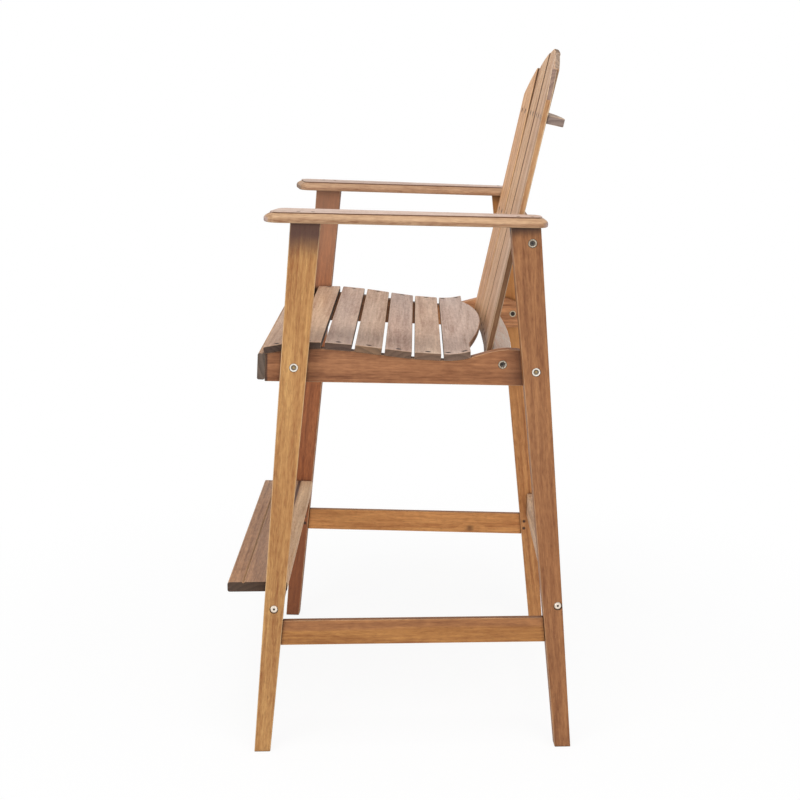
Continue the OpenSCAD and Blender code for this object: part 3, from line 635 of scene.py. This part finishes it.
for side, hand, seed in ((1, "left", 0), (-1, "right", 50)):
    out = frame_out(side)
    front_leg, rear_leg = "front_leg_" + hand, "rear_leg_" + hand
    dress(front_leg, leaning(side, LEG_LEAN), out, seed + 1.0, LEG_EASE, **FRONT_LEGS[hand],
          pith=(0.03, -0.09), ring=0.008, figure=0.35, streak=0.4, contrast=0.8, edge=0.7,
          screws=close_to(front_leg, pins), rust_ring=PIN_RUST)
    dress(rear_leg, leaning(side, -LEG_LEAN), out, seed + 2.0, LEG_EASE, **REAR_LEGS[hand],
          pith=(-0.05, -0.06), ring=0.010, figure=0.4, streak=0.5, contrast=0.75,
          stain=BLACK_TIP, screws=close_to(rear_leg, pins), rust_ring=PIN_RUST)
    dress("seat_rail_" + hand, falling(side, RAIL_FALL), out, seed + 3.0, RAIL_EASE,
          **RAILS[hand], pith=(0.02, -0.05), ring=0.012, figure=0.4, streak=0.9, contrast=0.85,
          foot=SHADE_BEHIND_APRON, shade=SHADE_UNDER_SEAT)
    dress("side_stretcher_" + hand, falling(side, 0), out, seed + 4.0, STRETCHER_EASE,
          **STRETCHERS[hand], pith=(-0.02, -0.06), ring=0.011, figure=0.4, streak=0.9, contrast=0.7,
          joints=((side, 0.5, 0.65),))
    dress("arm_" + hand, falling(side, ARM_FALL), UP, seed + 5.0, **ARMS[hand],
          pith=(0.01, -0.08), ring=0.010, figure=0.35, streak=0.7, grey=0.3, edge=0.15,
          crown=ARM_TOPS, step=ARM_STEP)

SEAT_SLATS, BACK_SLATS = 7, 5
MIDDLE_SLAT = BACK_SLATS // 2
# Darker joints: the side of the board, the share of darkening, and the slope where it starts
ONE_SIDE, OTHER_SIDE = (1, 0.85, 0.65), (-1, 0.85, 0.65)
SEAT_JOINTS = {0: (ONE_SIDE,), SEAT_SLATS - 1: (OTHER_SIDE,)}
BACK_JOINTS = (
    (ONE_SIDE,), (ONE_SIDE, (-1, 0.3, 0.3)), (ONE_SIDE, (-1, 0.4, 0.3)),
    (ONE_SIDE, (-1, 0.9, 0.15)), ((-1, 0.15, 0.65),),
)
# The first slat has painted shadow of the left arm on its left side below the arm, and an edge that
# is partly sanded and partly a painted highlight. The last slat has painted shade high up on its
# left side, next to the fourth slat.
OUTER_SLATS = {
    0: {"shade": (1, -1, 0.6, 0.25, 0.285, (84, 50, 30)), "rim": CREAM, "edge": 0.8},
    BACK_SLATS - 1: {"shade": (1, -1, 0.75, 0.46, 0.36, (72, 46, 34))},
}
# Painted shade at the foot of each back slat
SHADE_AT_SLAT_FOOT = (0.8, 0.004, 0.055, BLACKISH)
seat_screws = heads("seat_slat_screws", lambda middle: UP)
back_screws = heads("back_slat_screws", lambda middle: FORWARD)

for k in range(SEAT_SLATS):
    slat = f"seat_slat_{k + 1}"
    dress(slat, ACROSS, UP, 11.0 + k * 3.7, SEAT_EASE,
          pith=(0.012 * ((k * 5) % 7 - 3), -0.05 - 0.01 * (k % 3)), ring=0.009 + 0.001 * (k % 4),
          figure=0.45, streak=0.5, contrast=0.85, grey=0.35,
          joints=SEAT_JOINTS.get(k, (ONE_SIDE, OTHER_SIDE)), screws=close_to(slat, seat_screws))

for k in range(BACK_SLATS):
    slat, from_middle = f"back_slat_{k + 1}", MIDDLE_SLAT - k
    lean = BACK_FAN * (1 - (from_middle / MIDDLE_SLAT) ** 2)
    turn = (BACK_TILT @ Matrix.Rotation(-from_middle * SLAT_TURN, 3, "Z")
            @ Matrix.Rotation(-lean, 3, "X"))
    dress(slat, turn @ UP, turn @ FORWARD, 41.0 + k * 2.9, BACK_EASE, **OUTER_SLATS.get(k, {}),
          pith=(0.015 * ((k * 3) % 5 - 2), -0.06), ring=0.010, figure=0.45, streak=0.55, grey=0.12,
          joints=BACK_JOINTS[k], foot=SHADE_AT_SLAT_FOOT, screws=close_to(slat, back_screws))

# Across the footrest from its middle
FOOTREST_GROOVE, FOOTREST_STRIP = 0.025, 0.029
dress("front_apron", ACROSS, FORWARD, 61.0, grey=0.2)
# The footrest board's near end has a pale rim, partly sanded wear and partly a painted highlight
dress("footrest_board", ACROSS, UP, 62.0, grey=0.2, groove=FOOTREST_GROOVE, edge=0.3,
      contrast=0.85, strip=(FOOTREST_STRIP, REAR_STRIP), stain=(0.7, 0.001, 0.004, PALE_CUT))
dress("footrest_rail", ACROSS, FORWARD, 63.0, RAIL_EASE)
dress("rear_stretcher", ACROSS, FORWARD, 64.0, RAIL_EASE)
dress("upper_back_brace", ACROSS, BACK_TILT @ UP, 65.0, RAIL_EASE, grey=0.1, edge=0.9)
dress("middle_back_brace", ACROSS, FORWARD, 66.0, RAIL_EASE)
# The lower back brace's top is painted light, and its wide eased edge a white painted highlight
dress("lower_back_brace", ACROSS, BACK_TILT @ UP, 67.0, WORN_EASE, edge=1.0,
      rim=WHITE_HIGHLIGHT, crown=BRACE_TOP_PAINTED_LIGHT)

# Bolts and nuts: radius of the dish and of the socket, and the colours of the plating where it is
# pale and where it is worn, of the painted shade in the dish, and of the socket's bottom
WHITE_ZINC = (246, 240, 232), (222, 212, 196), (84, 70, 50), (176, 148, 96)
DULL_ZINC = (222, 212, 186), (190, 178, 144), (92, 78, 56), (44, 30, 22)
DARK_ZINC = (214, 202, 182), (104, 88, 70), (46, 36, 30), (30, 24, 20)
YELLOW_ZINC = (242, 228, 216), (220, 206, 182), (60, 48, 38), (48, 38, 30)
for node, dish, socket, tones in (
    ("leg_rail_bolts", 0.0049, 0.0022, WHITE_ZINC),
    ("leg_rail_nuts", 0.0, 0.0046, DULL_ZINC),
    ("brace_bolts", 0.0050, 0.0016, DARK_ZINC),
    ("stretcher_bolts", 0.0, 0.0019, YELLOW_ZINC),
    ("barrel_nuts", 0.0, 0.0, YELLOW_ZINC),
):
    coat(node, zinc_plating(node, dish, socket, tones))

black_steel = screw_steel("blackened steel", (30, 24, 22), (62, 52, 44))
tan_steel = screw_steel("tan steel", (168, 138, 116), (198, 168, 144))
for node in ("seat_slat_screws", "back_slat_screws", "apron_screws", "footrest_screws",
             "stretcher_pins"):
    coat(node, black_steel)
coat("arm_screws", tan_steel)


# Studio

def seen_straight(web):
    """1 where the camera looks straight at a surface, or sees it in a gloss or through glass."""
    camera, glossy, through = [web.add("ShaderNodeLightPath", {}, {}, out="Is " + kind + " Ray")
                               for kind in ("Camera", "Glossy", "Transmission")]
    return camera.larger(glossy).larger(through)


def floor():
    """A white floor that keeps the stool's shadow, and runs out into plain white."""
    reach, own_white = 30, 0.89
    f = Finish("studio floor")
    away = f.vectors("LENGTH", f.coordinate("Object"), (0, 0, 0), out="Value")
    lit = f.add("ShaderNodeBsdfDiffuse", {}, {"Color": (0.98, 0.98, 0.98, 1)})
    glow = f.add("ShaderNodeEmission", {}, {"Color": (1, 1, 1, 1), "Strength": 1.0})
    white = own_white + away.rise(0.5, 1.4) * (1 - own_white)
    looked_at = f.add("ShaderNodeMixShader", {}, {0: white, 1: lit, 2: glow})
    lighting = f.add("ShaderNodeBsdfDiffuse", {}, {"Color": (0.78, 0.78, 0.78, 1)})
    shown = f.add("ShaderNodeMixShader", {}, {0: seen_straight(f), 1: lighting, 2: looked_at})
    f.add("ShaderNodeOutputMaterial", {}, {"Surface": shown})
    mesh = bpy.data.meshes.new("floor")
    corners = [(-reach, -reach, 0), (reach, -reach, 0), (reach, reach, 0), (-reach, reach, 0)]
    mesh.from_pydata(corners, [], [(0, 1, 2, 3)])
    sheet = bpy.data.objects.new("floor", mesh)
    bpy.context.scene.collection.objects.link(sheet)
    mesh.materials.append(f.material)


def surroundings(strength):
    """White where it is looked at or reflected, and a plain soft light on the stool."""
    world = bpy.data.worlds.new("studio")
    bpy.context.scene.world = world
    world.use_nodes = True
    w = Web(world.node_tree)
    white = seen_straight(w)
    level = white + (1 - white) * strength
    sky = w.add("ShaderNodeBackground", {}, {"Color": (1, 1, 1, 1), "Strength": level})
    w.add("ShaderNodeOutputWorld", {}, {"Surface": sky})


def softbox(name, place, target, size, power):
    lamp = bpy.data.lights.new(name, "AREA")
    lamp.shape = "RECTANGLE"
    lamp.size, lamp.size_y = size
    lamp.energy = power
    box = bpy.data.objects.new(name, lamp)
    bpy.context.scene.collection.objects.link(box)
    box.location = place
    box.rotation_mode = "QUATERNION"
    box.rotation_quaternion = (Vector(target) - Vector(place)).to_track_quat("-Z", "Y")
    box.visible_camera = False


SEAT_HIGH = (0, 0, 0.7)
floor()
surroundings(0.58)
softbox("overhead softbox", (1.2, 0.0, 3.5), SEAT_HIGH, (1.5, 1.5), 42)
softbox("front softbox", (3.2, -2.6, 1.6), SEAT_HIGH, (2.0, 2.0), 44)
softbox("rear softbox", (3.2, 2.6, 1.6), SEAT_HIGH, (2.0, 2.0), 24)

# Camera: above arm height beside the stool, looking slightly down
EYE = Vector((2.6539, 0.0231, 1.21735))
YAW, PITCH, ROLL = 0.01154, 0.23654, 0.00313
ahead = Vector((-math.cos(YAW) * math.cos(PITCH), -math.sin(YAW) * math.cos(PITCH),
                -math.sin(PITCH)))
right = ahead.cross(UP).normalized()
top = right.cross(ahead)
rolled_right = right * math.cos(ROLL) + top * math.sin(ROLL)
rolled_top = top * math.cos(ROLL) - right * math.sin(ROLL)
camera = bpy.data.objects.new("camera", bpy.data.cameras.new("camera"))
bpy.context.scene.collection.objects.link(camera)
camera.data.lens = 63
camera.data.sensor_width = 36
camera.data.clip_start = 0.1
camera.data.clip_end = 100
pose = Matrix((rolled_right, rolled_top, -ahead)).transposed().to_4x4()
pose.translation = EYE
camera.matrix_world = pose
bpy.context.scene.camera = camera
bpy.context.scene.view_settings.view_transform = "Standard"

bpy.context.view_layer.update()
